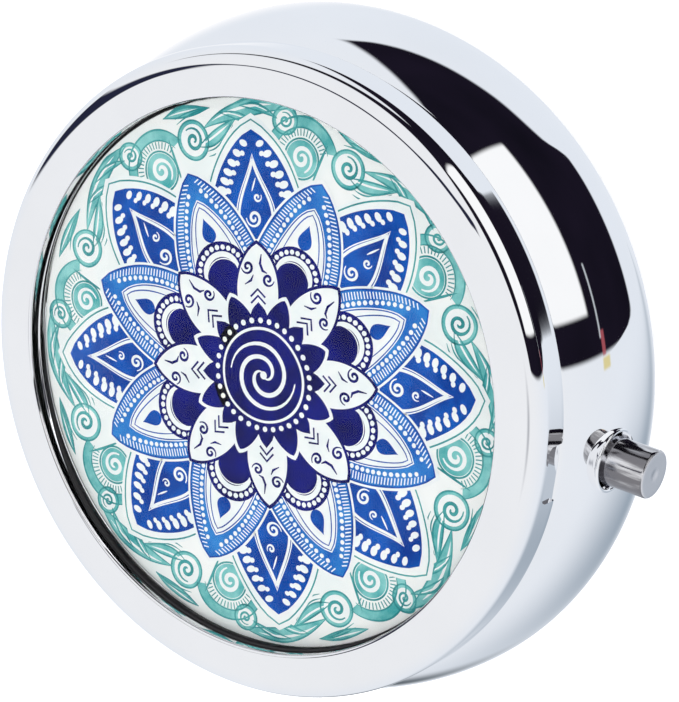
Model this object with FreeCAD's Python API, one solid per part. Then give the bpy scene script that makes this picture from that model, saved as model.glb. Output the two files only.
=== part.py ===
import FreeCAD, Part
import math
import os

# Round push-button pill box, closed.
# Millimetres. Origin at the centre of the flat underside, +Z up through the lid,
# -Y towards the push button, +Y towards the hinge.

V = FreeCAD.Vector
ORIGIN = V(0, 0, 0)
UP = V(0, 0, 1)

# ---- sizes that are set by themselves ---------------------------------------
dome_seat_radius = 20.0     # recess in the lid for a 40 mm dome
base_height = 14.6          # underside to the top edge of the base shell
lid_height = 3.6            # seam to the flat face of the lid's rim
shell_wall = 0.6            # both chromed outer shells
bulge = 1.9                 # how far the base swells past its own top edge
corner_radius = 7.2         # round between the underside and the widest ring
lid_overhang = 0.3          # lid skirt past the base's top edge
rim_edge_radius = 1.5       # outer edge of the lid
recess_edge_radius = 0.3    # turned edge where the rim drops into the recess
lid_floor = 0.4             # plate under the dome

glue_thickness = 0.1
art_thickness = 0.3
dome_edge = 0.6             # height of the dome at its edge
dome_rise = 1.5             # crown above the edge
dome_edge_round = 0.45
dome_sink = 1.2             # rim face above the dome's edge

pad_thickness = 0.2
mirror_thickness = 1.0
mirror_border = 1.7         # part of the mirror that its frame hides
frame_sheet = 0.5           # side wall of the mirror frame
frame_plate = 0.4           # its flat lip over the mirror
frame_wall_height = 2.7

lip_sheet = 0.5             # ring that stands up inside the lid
lip_height = 1.8            # above the seam
lip_end_clear = 4.4         # lip stops this far from the hinge notch
seat_width = 1.4            # ledge that carries the tray
seat_sheet = 0.5
tray_wall = 0.8
tray_rib = 0.9
tray_flange = 0.6
tray_corner = 0.6           # upright corners of the wells
tray_floor_round = 0.5

pin_radius = 0.5
pin_head = 0.25
leaf_sheet = 0.45
lid_knuckle_half = 2.3
barrel_below = 0.45         # room under the barrel: this sets how far the lid opens
barrel_above = 0.25

button_radius = 1.75
button_reach = 3.2          # button past the base's side
button_bevel = 0.22
flange_lip = 0.35           # flange past the button's side
flange_sheet = 0.4
stem_radius = 1.2
neck_radius = 0.8
neck_length = 1.3
bush_wall = 0.35
bush_inside = 1.0           # bush past the shell's inner face
bush_collar = 0.3           # collar past the base's side
bush_collar_width = 0.3
bush_mouth = 0.25           # cone at the bush's mouth
clip_radius = 1.5
clip_sheet = 0.4
clip_mouth_half = 0.56
spring_radius = 1.85
spring_wire = 0.15
spring_turns = 3
spring_length = 2.7
catch_sheet = 0.5
catch_half_width = 2.2
catch_window_half = 1.6
catch_bar = 0.45
slide_sheet = 0.5
slide_half_width = 2.2
nose_half_width = 1.3
nose_height = 0.6
nose_reach = 0.6            # slide's face to the lid's catch
nose_slope = 0.3
bracket_sheet = 0.5
bracket_depth_below = 2.2   # below the button's axis
tab_length = 3.45
tab_depth = 1.3
rivet_radius = 0.45
rivet_head_radius = 0.8
rivet_head = 0.3
rivet_head_round = 0.21
thumb_notch_half = 2.1
thumb_notch_height = 1.8
thumb_notch_round = 0.6

# ---- clearances --------------------------------------------------------------
seam_gap = 0.15             # lid skirt above the base
dome_clear = 0.15           # dome and printed disc in the recess
mirror_clear = 0.3
catch_clear = 0.1           # catch off the mirror frame
catch_to_lip = 0.3
lip_clear = 0.4             # lip inside the lid skirt
tray_gap = 0.2              # tray under the mirror frame
tray_clear = 0.3            # tray inside its seat
tray_to_corner = 0.4        # tray off the shell's rounded bottom
tray_trim_clear = 0.25      # tray's flange off the catch and the hinge
nose_clear = 0.1            # nose under the tray
nose_reach_gap = 0.05       # nose short of the catch
window_clear = 0.05
slide_clear = 0.25
bracket_clear = 0.05        # tabs inside the base ring
spring_end_gap = 0.01
flange_clear = 0.1
hinge_clear = 0.1
knuckle_gap = 0.1
pin_running = 0.03
notch_end_clear = 0.4
button_running = 0.08
button_stop_gap = 0.02
wall_gap = 0.2

# ---- radii, worked outwards from the dome ------------------------------------
recess_outer = dome_seat_radius + shell_wall
frame_outer = recess_outer + frame_sheet
catch_inner = frame_outer + catch_clear
catch_outer = catch_inner + catch_sheet
lip_inner = catch_outer + catch_to_lip
lip_outer = lip_inner + lip_sheet
skirt_inner = lip_outer + lip_clear
lid_radius = skirt_inner + shell_wall
seam_radius = lid_radius - lid_overhang
bulge_radius = seam_radius + bulge
seat_inner = lip_inner - seat_width
tray_radius = seat_inner - tray_clear
flange_outer = lip_inner - catch_to_lip - catch_clear

# ---- heights, worked downwards from the rim ----------------------------------
rim_z = base_height + lid_height
skirt_bottom = base_height + seam_gap
recess_depth = glue_thickness + art_thickness + dome_edge + dome_sink
floor_z = rim_z - recess_depth
pad_top = floor_z - lid_floor
mirror_top = pad_top - pad_thickness
mirror_bottom = mirror_top - mirror_thickness
frame_bottom = mirror_bottom - frame_plate
tray_top = frame_bottom - tray_gap
seat_top = tray_top - tray_flange
seat_bottom = seat_top - seat_sheet
ring_bottom = seat_bottom - bracket_sheet
nose_top = seat_top - nose_clear
nose_bottom = nose_top - nose_height
window_top = nose_top + 2 * nose_clear
bar_top = nose_bottom - window_clear
catch_bottom = bar_top - catch_bar
flange_radius = button_radius + flange_lip
button_z = catch_bottom - flange_clear - flange_radius

# ---- the base shell's two arcs -----------------------------------------------
corner_centre = bulge_radius - corner_radius
flank_rise = base_height - corner_radius
flank_radius = (flank_rise ** 2 + bulge ** 2) / (2 * bulge)
flank_centre = bulge_radius - flank_radius


def base_radius(z, inset):
    """Radius of the base's side at height z, that far inside its outer face."""
    if z < corner_radius:
        return corner_centre + math.sqrt((corner_radius - inset) ** 2 - (corner_radius - z) ** 2)
    return flank_centre + math.sqrt((flank_radius - inset) ** 2 - (z - corner_radius) ** 2)


tray_reach = max(tray_radius + tray_to_corner - corner_centre, 0)
tray_bottom = max(
    shell_wall + tray_to_corner,
    corner_radius - math.sqrt((corner_radius - shell_wall) ** 2 - tray_reach ** 2),
)

# ---- hinge -------------------------------------------------------------------
barrel_radius = (lid_radius - frame_outer - 2 * hinge_clear) / 2
hinge_y = lid_radius - hinge_clear - barrel_radius
hinge_z = base_height + seam_gap / 2
notch_half = math.sqrt(lid_radius ** 2 - hinge_y ** 2) + 2 * hinge_clear
barrel_half = notch_half - notch_end_clear
notch_floor = hinge_z - barrel_radius - barrel_below
notch_roof = hinge_z + barrel_radius + barrel_above
leaf_half = math.sqrt(base_radius(notch_floor, shell_wall + hinge_clear / 2) ** 2 - hinge_y ** 2)
lip_gap_half = notch_half + lip_end_clear

# ---- the latch, from the button's tip inwards (all along Y) --------------------
side_y = -base_radius(button_z, 0)
button_tip = side_y - button_reach
bush_inner_y = -(base_radius(button_z, shell_wall) - bush_inside)
flange_y = bush_inner_y + button_stop_gap
slide_y = -(catch_inner - nose_reach)
slide_back = slide_y + slide_sheet
neck_end = slide_y + neck_length
bracket_wall_y = slide_back + spring_length
tray_flat_y = bracket_wall_y + bracket_sheet + wall_gap
bush_bore = button_radius + button_running
bush_outer = bush_bore + bush_wall


def outline(start, *steps):
    """Face in the XZ plane. A step is an end point, or (via, end) for an arc."""
    edges = []
    here = V(start[0], 0, start[1])
    for step in steps + (start,):
        if isinstance(step[0], tuple):
            via = V(step[0][0], 0, step[0][1])
            end = V(step[1][0], 0, step[1][1])
            edges.append(Part.Arc(here, via, end).toShape())
        else:
            end = V(step[0], 0, step[1])
            edges.append(Part.LineSegment(here, end).toShape())
        here = end
    return Part.Face(Part.Wire(edges))


def turned(start, *steps):
    """Solid of revolution about Z."""
    return outline(start, *steps).revolve(ORIGIN, UP, 360)


def turned_y(start, *steps):
    """Solid of revolution about the button's axis. The points are (radius, y)."""
    solid = turned(start, *steps)
    solid.rotate(ORIGIN, V(1, 0, 0), -90)
    solid.translate(V(0, 0, button_z))
    return solid


def on_circle(centre, radius, degrees):
    """Point of a circle in the section plane."""
    turn = math.radians(degrees)
    return (centre[0] + radius * math.cos(turn), centre[1] + radius * math.sin(turn))


def block(x, y, z):
    """Box between pairs of coordinates."""
    return Part.makeBox(x[1] - x[0], y[1] - y[0], z[1] - z[0], V(x[0], y[0], z[0]))


def disc(radius, z, inner=0.0):
    """Flat disc or ring between two heights."""
    solid = Part.makeCylinder(radius, z[1] - z[0], V(0, 0, z[0]))
    if inner:
        solid = solid.cut(Part.makeCylinder(inner, z[1] - z[0], V(0, 0, z[0])))
    return solid


def barrel(radius, x):
    """Cylinder on the hinge axis."""
    return Part.makeCylinder(radius, x[1] - x[0], V(x[0], hinge_y, hinge_z), V(1, 0, 0))


def flank_point(z, inset):
    return (base_radius(z, inset), z)


def base_body():
    """Outside of the base, filled in."""
    corner = (corner_centre, corner_radius)
    return turned(
        (0, 0),
        (corner_centre, 0),
        (on_circle(corner, corner_radius, -45), (bulge_radius, corner_radius)),
        (flank_point((corner_radius + base_height) / 2, 0), (seam_radius, base_height)),
        (0, base_height),
    )


def base_hollow():
    """Inside of the base shell, open at the top."""
    corner = (corner_centre, corner_radius)
    inner = corner_radius - shell_wall
    return turned(
        (0, shell_wall),
        (corner_centre, shell_wall),
        (on_circle(corner, inner, -45), (bulge_radius - shell_wall, corner_radius)),
        (flank_point((corner_radius + base_height) / 2, shell_wall), flank_point(base_height, shell_wall)),
        (0, base_height),
    )


def hinge_notch(z):
    """Slot in the back of a shell, for the hinge barrel."""
    return block((-notch_half, notch_half), (frame_outer, bulge_radius + 1), z)


def make_base_shell():
    shell = base_body().cut(base_hollow())
    shell = shell.cut(hinge_notch((notch_floor, base_height + 1)))
    return shell.cut(button_bore(bush_outer))


def button_bore(radius):
    """Solid to cut for a hole on the button's axis, from outside to the middle."""
    start = side_y - 1
    return turned_y((0, start), (radius, start), (radius, 0), (0, 0))


def make_base_frame():
    """Ring in the mouth of the base: a lip that the lid closes over and a ledge for the tray."""
    ring_outer = base_radius(base_height, shell_wall)
    ring = turned(
        (lip_inner, ring_bottom),
        (ring_outer, ring_bottom),
        (ring_outer, base_height),
        (lip_outer, base_height),
        (lip_outer, base_height + lip_height),
        (lip_inner, base_height + lip_height),
        (lip_inner, seat_top),
        (seat_inner, seat_top),
        (seat_inner, seat_bottom),
        (lip_inner, seat_bottom),
    )
    top = base_height + lip_height + 1
    leaf_y = hinge_y - leaf_sheet
    ring = ring.cut(block((-leaf_half, leaf_half), (leaf_y, lid_radius), (ring_bottom - 1, top)))
    ring = ring.cut(block((-notch_half, notch_half), (frame_outer, lid_radius), (notch_floor, top)))
    ring = ring.cut(block((-lip_gap_half, lip_gap_half), (0, lid_radius), (base_height, top)))
    slot_half = catch_half_width + slide_clear
    slot = block((-slot_half, slot_half), (-lip_inner, 0), (seat_bottom, seat_top))
    slot = slot.common(disc(lip_inner, (seat_bottom, seat_top)))
    ring = ring.cut(slot)
    for rivet in make_rivet_shanks():
        ring = ring.cut(rivet)
    return ring


def make_base_hinge_leaf():
    leaf_y = (hinge_y - leaf_sheet, hinge_y)
    inner = lid_knuckle_half + knuckle_gap
    plate_top = hinge_z - barrel_radius - 2 * hinge_clear
    leaf = block((-leaf_half, leaf_half), leaf_y, (ring_bottom, plate_top))
    for side in (-1, 1):
        ends = sorted((side * inner, side * barrel_half))
        neck = sorted((side * inner, side * leaf_half))
        leaf = leaf.fuse(block(neck, leaf_y, (ring_bottom, hinge_z)))
        leaf = leaf.fuse(barrel(barrel_radius, ends))
    return leaf.cut(barrel(pin_radius, (-lid_radius, lid_radius))).removeSplitter()


def make_hinge_pin():
    pin = barrel(pin_radius, (-barrel_half, barrel_half))
    for side in (-1, 1):
        ends = sorted((side * barrel_half, side * (barrel_half + pin_head)))
        pin = pin.fuse(barrel(pin_radius + pin_head, ends))
    return pin.removeSplitter()


def make_pill_tray():
    """Insert with three wells. Its front is flat, to leave room for the latch."""
    body = disc(tray_radius, (tray_bottom, seat_top))
    body = body.cut(block((-lid_radius, lid_radius), (-lid_radius, tray_flat_y), (0, seat_top)))
    flange = disc(flange_outer, (seat_top, tray_top))
    back_y = hinge_y - barrel_radius - tray_trim_clear
    front_y = -(catch_inner - tray_trim_clear)
    for y in ((back_y, lid_radius), (-lid_radius, front_y)):
        flange = flange.cut(block((-lid_radius, lid_radius), y, (seat_top - 1, tray_top + 1)))
    return body.fuse(flange).cut(tray_wells()).removeSplitter()


def tray_wells():
    floor = tray_bottom + tray_wall
    reach = tray_radius - tray_wall
    wells = disc(reach, (floor, tray_top + 1))
    wells = wells.cut(block((-reach, reach), (-reach, tray_flat_y + tray_wall), (0, rim_z)))
    for turn in (-90, 30, 150):
        rib = block((0, lid_radius), (-tray_rib / 2, tray_rib / 2), (0, rim_z))
        rib.rotate(ORIGIN, UP, turn)
        wells = wells.cut(rib)
    wells = wells.cut(disc(tray_rib, (0, rim_z)))
    upright = [e for e in wells.Edges if is_upright(e)]
    wells = wells.makeFillet(tray_corner, upright)
    flat = [e for e in wells.Edges if abs(e.BoundBox.ZMax - floor) < 0.01]
    return wells.makeFillet(tray_floor_round, flat)


def is_upright(edge):
    box = edge.BoundBox
    return box.ZLength > 1 and box.XLength < 0.01 and box.YLength < 0.01


def make_button_bush():
    """Eyelet in the base's side that guides the button, with a collar outside."""
    collar_outer = bush_outer + bush_collar_width
    front = side_y - bush_collar
    bush = turned_y(
        (bush_bore, bush_inner_y),
        (bush_outer, bush_inner_y),
        (bush_outer, side_y + 2 * shell_wall),
        (collar_outer, side_y + 2 * shell_wall),
        (collar_outer, front + bush_mouth / 2),
        (bush_outer + bush_mouth / 2, front),
        (bush_bore + bush_mouth, front),
        (bush_bore, front + 2 * bush_mouth),
    )
    tube = button_bore(bush_outer)
    collar = bush.cut(tube).cut(base_body())
    return bush.common(tube).fuse(collar).removeSplitter()


def make_push_button():
    return turned_y(
        (0, button_tip),
        (button_radius - button_bevel, button_tip),
        (button_radius, button_tip + button_bevel),
        (button_radius, flange_y),
        (flange_radius, flange_y),
        (flange_radius, flange_y + flange_sheet),
        (stem_radius, flange_y + flange_sheet),
        (stem_radius, slide_y),
        (neck_radius, slide_y),
        (neck_radius, neck_end),
        (0, neck_end),
    )


def make_latch_slide():
    """Plate on the button's stem, with a nose that points back out at the lid's catch."""
    y = (slide_y, slide_back)
    low = button_z - bracket_depth_below + slide_clear
    plate = block((-slide_half_width, slide_half_width), y, (low, catch_bottom - flange_clear))
    plate = plate.fuse(block((-catch_window_half, catch_window_half), y, (low, nose_top)))
    tip = -(catch_inner - nose_reach_gap)
    section = Part.Wire(Part.makePolygon([
        V(0, slide_y, nose_bottom),
        V(0, tip, nose_bottom),
        V(0, tip, nose_top - nose_slope),
        V(0, tip + nose_slope, nose_top),
        V(0, slide_y, nose_top),
        V(0, slide_y, nose_bottom),
    ]))
    nose = Part.Face(section).extrude(V(2 * nose_half_width, 0, 0))
    nose.translate(V(-nose_half_width, 0, 0))
    return plate.fuse(nose).cut(button_bore(neck_radius)).removeSplitter()


def make_button_clip():
    """Open retaining ring behind the latch slide."""
    ring = turned_y(
        (neck_radius, slide_back),
        (clip_radius, slide_back),
        (clip_radius, slide_back + clip_sheet),
        (neck_radius, slide_back + clip_sheet),
    )
    below = (button_z - 2 * clip_radius, button_z)
    mouth = block((-clip_mouth_half, clip_mouth_half), (slide_y, 0), below)
    return ring.cut(mouth)


def make_button_spring():
    """Coil between the latch slide and the bracket's back wall."""
    gap = spring_wire + spring_end_gap
    length = spring_length - 2 * gap
    steps = 16 * spring_turns
    points = []
    for step in range(steps + 1):
        x, y = on_circle((0, 0), spring_radius, 360 * spring_turns * step / steps)
        points.append(V(x, y, length * step / steps))
    path = Part.BSplineCurve()
    path.interpolate(points)
    along = path.tangent(path.FirstParameter)[0]
    section = Part.Wire(Part.Circle(points[0], along, spring_wire).toShape())
    coil = Part.Wire(path.toShape()).makePipeShell([section], True, True)
    coil.rotate(ORIGIN, V(1, 0, 0), -90)
    coil.translate(V(0, slide_back + gap, button_z))
    return coil


def make_latch_bracket():
    """U-shaped guide for the slide, hung under the tray ledge by two tabs."""
    inner = slide_half_width + slide_clear
    outer = inner + bracket_sheet
    z = (button_z - bracket_depth_below, seat_bottom)
    front = slide_y - slide_clear
    back = bracket_wall_y + bracket_sheet
    bracket = block((-outer, outer), (bracket_wall_y, back), (z[0], ring_bottom))
    for side in (-1, 1):
        cheek = sorted((side * inner, side * outer))
        bracket = bracket.fuse(block(cheek, (front, back), z))
        tab = sorted((side * inner, side * (outer + tab_length)))
        bracket = bracket.fuse(block(tab, (front, front + tab_depth), (ring_bottom, seat_bottom)))
    bracket = bracket.common(disc(lip_inner - bracket_clear, z))
    for shank in make_rivet_shanks():
        bracket = bracket.cut(shank)
    return bracket.removeSplitter()


def rivet_places():
    """Middle of each tab, on the ledge."""
    x = slide_half_width + slide_clear + bracket_sheet + tab_length / 2
    return [(side * x, slide_y - slide_clear + tab_depth / 2) for side in (-1, 1)]


def make_rivet_shanks():
    height = seat_top - ring_bottom
    return [Part.makeCylinder(rivet_radius, height, V(x, y, ring_bottom)) for x, y in rivet_places()]


def make_bracket_rivets():
    rivets = []
    for shank, (x, y) in zip(make_rivet_shanks(), rivet_places()):
        head = Part.makeCylinder(rivet_head_radius, rivet_head, V(x, y, ring_bottom - rivet_head))
        edges = [e for e in head.Edges if abs(e.BoundBox.ZMax - head.BoundBox.ZMin) < 0.01]
        head = head.makeFillet(rivet_head_round, edges)
        rivets.append(shank.fuse(head).removeSplitter())
    return Part.makeCompound(rivets)


def make_lid_shell():
    """One pressed sheet: skirt, flat rim, recess wall and floor."""
    inner_edge = rim_edge_radius - shell_wall
    edge_centre = (lid_radius - rim_edge_radius, rim_z - rim_edge_radius)
    recess_centre = (dome_seat_radius + recess_edge_radius, rim_z - recess_edge_radius)
    shell = turned(
        (lid_radius, skirt_bottom),
        (lid_radius, edge_centre[1]),
        (on_circle(edge_centre, rim_edge_radius, 45), (edge_centre[0], rim_z)),
        (recess_centre[0], rim_z),
        (on_circle(recess_centre, recess_edge_radius, 135), (dome_seat_radius, recess_centre[1])),
        (dome_seat_radius, floor_z),
        (0, floor_z),
        (0, pad_top),
        (recess_outer, pad_top),
        (recess_outer, rim_z - shell_wall),
        (edge_centre[0], rim_z - shell_wall),
        (on_circle(edge_centre, inner_edge, 45), (skirt_inner, edge_centre[1])),
        (skirt_inner, skirt_bottom),
    )
    shell = shell.cut(hinge_notch((skirt_bottom - 1, notch_roof)))
    return shell.cut(thumb_notch())


def thumb_notch():
    """Cut in the lid's skirt over the button, with round upper corners."""
    half = thumb_notch_half
    top = skirt_bottom + thumb_notch_height
    r = thumb_notch_round
    face = outline(
        (-half, skirt_bottom - 1),
        (-half, top - r),
        (on_circle((-half + r, top - r), r, 135), (-half + r, top)),
        (half - r, top),
        (on_circle((half - r, top - r), r, 45), (half, top - r)),
        (half, skirt_bottom - 1),
    )
    face.translate(V(0, -lid_radius - 1, 0))
    return face.extrude(V(0, lid_radius + 1 - lip_outer, 0))


def make_lid_hinge_leaf():
    leaf_y = (hinge_y - barrel_radius, hinge_y - barrel_radius + leaf_sheet)
    plate_bottom = hinge_z + barrel_radius + hinge_clear
    plate_top = rim_z - rim_edge_radius + hinge_clear
    leaf = block((-leaf_half, leaf_half), leaf_y, (plate_bottom, plate_top))
    leaf = leaf.fuse(block((-lid_knuckle_half, lid_knuckle_half), leaf_y, (hinge_z, plate_top)))
    leaf = leaf.fuse(barrel(barrel_radius, (-lid_knuckle_half, lid_knuckle_half)))
    return leaf.cut(barrel(pin_radius + pin_running, (-lid_radius, lid_radius))).removeSplitter()


def make_mirror_frame():
    """Ring pressed over the outside of the recess, which holds the mirror."""
    opening = recess_outer - mirror_clear - mirror_border
    return turned(
        (opening, frame_bottom),
        (frame_outer, frame_bottom),
        (frame_outer, frame_bottom + frame_wall_height),
        (recess_outer, frame_bottom + frame_wall_height),
        (recess_outer, mirror_bottom),
        (opening, mirror_bottom),
    )


def make_lid_catch():
    """Tongue under the lid's rim, with a window for the latch's nose."""
    x = (-catch_half_width, catch_half_width)
    roof = rim_z - shell_wall
    tongue = block(x, (-catch_outer, -catch_inner), (catch_bottom, roof))
    foot = block(x, (-catch_outer, 0), (roof - catch_sheet, roof))
    foot = foot.cut(disc(recess_outer, (roof - catch_sheet, roof)))
    window = block((-catch_window_half, catch_window_half), (-lid_radius, 0), (bar_top, window_top))
    return tongue.fuse(foot.common(disc(lip_inner, (0, rim_z)))).cut(window).removeSplitter()


def make_dome():
    """Clear dome with a rounded edge."""
    radius = dome_seat_radius - dome_clear
    bottom = floor_z + glue_thickness + art_thickness
    shoulder = bottom + dome_edge - dome_edge_round
    crown = bottom + dome_edge + dome_rise
    start = radius - dome_edge_round
    sphere = (start ** 2 + dome_rise ** 2) / (2 * dome_rise)
    half = start / 2
    half_height = crown - sphere + math.sqrt(sphere ** 2 - half ** 2)
    edge_centre = (start, shoulder)
    return turned(
        (0, bottom),
        (radius, bottom),
        (radius, shoulder),
        (on_circle(edge_centre, dome_edge_round, 45), (start, bottom + dome_edge)),
        ((half, half_height), (0, crown)),
    )


def make_parts():
    art_radius = dome_seat_radius - dome_clear
    glue_top = floor_z + glue_thickness
    mirror_radius = recess_outer - mirror_clear
    return {
        "base_shell": make_base_shell(),
        "base_frame": make_base_frame(),
        "base_hinge_leaf": make_base_hinge_leaf(),
        "hinge_pin": make_hinge_pin(),
        "pill_tray": make_pill_tray(),
        "button_bush": make_button_bush(),
        "latch_bracket": make_latch_bracket(),
        "bracket_rivets": make_bracket_rivets(),
        "button_spring": make_button_spring(),
        "push_button": make_push_button(),
        "latch_slide": make_latch_slide(),
        "button_clip": make_button_clip(),
        "lid_shell": make_lid_shell(),
        "lid_hinge_leaf": make_lid_hinge_leaf(),
        "lid_catch": make_lid_catch(),
        "mirror_frame": make_mirror_frame(),
        "mirror": disc(mirror_radius, (mirror_bottom, mirror_top)),
        "mirror_pad": disc(mirror_radius - mirror_border, (mirror_top, pad_top)),
        "art_glue": disc(art_radius - dome_clear, (floor_z, glue_top)),
        "art_disc": disc(art_radius, (glue_top, glue_top + art_thickness)),
        "dome": make_dome(),
    }


os.makedirs("parts", exist_ok=True)
for node, shape in make_parts().items():
    shape.exportStep(os.path.join("parts", node + ".step"))
    box = shape.BoundBox
    print("%-16s %9.2f mm3  z %6.2f %6.2f  y %7.2f %7.2f  valid %s" % (
        node, shape.Volume, box.ZMin, box.ZMax, box.YMin, box.YMax, shape.isValid()))
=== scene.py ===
import math

import bmesh
import bpy
from mathutils import Matrix, Vector
from mathutils.geometry import tessellate_polygon


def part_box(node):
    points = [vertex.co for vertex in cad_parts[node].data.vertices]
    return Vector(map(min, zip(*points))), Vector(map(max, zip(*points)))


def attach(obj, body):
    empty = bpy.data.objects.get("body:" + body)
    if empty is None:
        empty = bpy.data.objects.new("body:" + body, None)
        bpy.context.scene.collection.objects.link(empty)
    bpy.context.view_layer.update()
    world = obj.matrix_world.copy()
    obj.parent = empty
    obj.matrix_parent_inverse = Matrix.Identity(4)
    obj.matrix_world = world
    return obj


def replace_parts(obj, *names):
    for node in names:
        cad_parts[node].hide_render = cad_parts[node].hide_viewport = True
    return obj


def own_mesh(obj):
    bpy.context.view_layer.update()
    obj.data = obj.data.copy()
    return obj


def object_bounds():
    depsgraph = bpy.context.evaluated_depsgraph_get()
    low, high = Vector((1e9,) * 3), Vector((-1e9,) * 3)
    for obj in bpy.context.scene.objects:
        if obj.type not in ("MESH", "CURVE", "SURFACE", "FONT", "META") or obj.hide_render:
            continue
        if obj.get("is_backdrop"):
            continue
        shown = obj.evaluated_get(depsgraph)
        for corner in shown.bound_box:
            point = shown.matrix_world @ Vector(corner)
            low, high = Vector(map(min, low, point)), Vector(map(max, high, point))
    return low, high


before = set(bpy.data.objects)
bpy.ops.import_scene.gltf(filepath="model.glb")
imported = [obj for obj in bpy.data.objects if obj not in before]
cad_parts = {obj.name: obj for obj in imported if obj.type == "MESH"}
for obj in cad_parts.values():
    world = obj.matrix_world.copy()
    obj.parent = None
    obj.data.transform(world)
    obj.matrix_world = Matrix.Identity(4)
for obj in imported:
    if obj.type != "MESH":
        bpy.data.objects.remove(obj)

# Push-button pill box with a printed disc under a clear dome in its lid.
# The frame is in metres. Sizes here are in millimetres, and mm() turns them into metres.


def mm(*values):
    scaled = tuple(v / 1000 for v in values)
    return scaled if len(scaled) > 1 else scaled[0]


def write_size(label, sizes):
    lo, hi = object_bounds()
    sizes[label] = [list(lo), list(hi)]


sizes = {}
write_size("cad", sizes)


def node_box(node):
    """Lowest and highest corner of a CAD node, in millimetres."""
    lo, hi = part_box(node)
    return lo * 1000, hi * 1000


# ---- sizes read from the frame
LID_LOW, LID_HIGH = node_box("lid_shell")
BASE_LOW, BASE_HIGH = node_box("base_shell")
ART_LOW, ART_HIGH = node_box("art_disc")
DOME_LOW, DOME_HIGH = node_box("dome")
BUTTON_LOW, BUTTON_HIGH = node_box("push_button")
BUSH_LOW, BUSH_HIGH = node_box("button_bush")
SPRING_LOW, SPRING_HIGH = node_box("button_spring")

RIM_Z = LID_HIGH.z
SKIRT_Z = LID_LOW.z
SEAM_Z = BASE_HIGH.z
BULGE_R = BASE_HIGH.x
ART_R = ART_HIGH.x
ART_Z = ART_HIGH.z
BUTTON_Z = (BUSH_LOW.z + BUSH_HIGH.z) / 2

# ---- sizes of the drawn pieces, in millimetres
WALL = 0.6
LID_R = 23.5
SEAM_R = 23.2
CORNER_R = 7.2
RIM_ROUND = 1.5
RECESS_R = 20.0
RECESS_ROUND = 0.3
FLOOR_Z = ART_LOW.z - 0.1
FLOOR_SHEET = 0.4
EDGE_ROUND = 0.12
HINGE_NOTCH_HALF = 7.6
HINGE_NOTCH_FLOOR = 13.125
HINGE_NOTCH_ROOF = 16.025
HINGE_NOTCH_Y = 21.1
THUMB_HALF = 2.1
THUMB_TOP = SKIRT_Z + 1.8
THUMB_ROUND = 0.6
THUMB_BACK = 0.3    # depth of the scoop under the skirt's face
# The bead is a dark ring round the dome that paints the shadow in the gap; it is thickest towards the
# side azimuth below.
BEAD_LOW, BEAD_TOP = 16.2, 17.35
BEAD_SHADOW_SIDE = 180.0   # azimuth of the thick side
BEAD_START, BEAD_RISE = -0.02, 0.75
BEAD_GAP = 0.02
DOME_EDGE, DOME_ROLL, DOME_CHAMFER = 0.6, 0.45, 0.05
BUTTON_R = 1.75
BUTTON_BEVEL = 0.22
DIMPLE_R, DIMPLE_FLOOR_R, DIMPLE_DEEP = 0.32, 0.25, 0.03
FACE_DEEP = 0.06
FLANGE_GAP, FLANGE_THICK = 0.02, 0.4
STEM_R, TAIL_R, TAIL_END_R = 1.2, 0.8, 0.65
STEM_END_Y, TAIL_CHAMFER = -20.6, 0.15
FLANGE_R = BUTTON_HIGH.x
BUSH_BORE = 1.83
BUSH_OUTER = 2.18
COLLAR_R = BUSH_OUTER + 0.16
COLLAR_ROLL, COLLAR_SET = 0.14, 0.22
COLLAR_FOOT, COLLAR_BACK = 0.7, 0.9
MOUTH_WIDE, MOUTH_DEEP, MOUTH_END = 0.1, 0.55, 0.8
SPRING_WIRE = 0.15
SPRING_TURNS = 3
SPRING_SEAT = 1.6 * SPRING_WIRE
SEGMENTS = 384
PAST = 1.0          # how far a cutter reaches beyond what it cuts
TINY = 1e-6


# ---- mesh helpers
def new_object(name, mesh, body, material, smooth=True):
    mesh.materials.append(material)
    thing = bpy.data.objects.new(name, mesh)
    bpy.context.scene.collection.objects.link(thing)
    for polygon in mesh.polygons:
        polygon.use_smooth = smooth
    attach(thing, body)
    return thing


def arc(centre, radius, start, end, steps=12):
    """Points of an arc in a section, from one angle to another in degrees."""
    points = []
    for step in range(steps + 1):
        turn = math.radians(start + (end - start) * step / steps)
        points.append((centre[0] + radius * math.cos(turn), centre[1] + radius * math.sin(turn)))
    return points


def line(start, end, steps=1):
    """Points after the start of a straight stretch, up to its end."""
    return [
        tuple(a + (b - a) * step / steps for a, b in zip(start, end))
        for step in range(1, steps + 1)
    ]


def made_mesh(name, work):
    """Mesh of a finished working mesh, with its faces turned outwards."""
    bmesh.ops.recalc_face_normals(work, faces=work.faces)
    mesh = bpy.data.meshes.new(name)
    work.to_mesh(mesh)
    work.free()
    return mesh


def lathe(name, section, segments=SEGMENTS):
    """Closed section (radius, height) turned about Z into a closed mesh, in metres."""
    work = bmesh.new()
    rings = []
    for radius, height in section:
        if radius < TINY:
            rings.append([work.verts.new((0, 0, mm(height)))])
            continue
        ring = []
        for step in range(segments):
            turn = 2 * math.pi * step / segments
            ring.append(work.verts.new(mm(radius * math.cos(turn), radius * math.sin(turn), height)))
        rings.append(ring)
    for lower, upper in zip(rings, rings[1:] + rings[:1]):
        if len(lower) == len(upper) == 1:
            continue
        for step in range(segments):
            after = (step + 1) % segments
            corners = [lower[step % len(lower)], lower[after % len(lower)]]
            corners += [upper[after % len(upper)], upper[step % len(upper)]]
            work.faces.new(list(dict.fromkeys(corners)))
    return made_mesh(name, work)


def sharpen(mesh, degrees=32):
    """Marks edges sharper than an angle, so smooth shading stops there."""
    mesh.set_sharp_from_angle(angle=math.radians(degrees))


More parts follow.
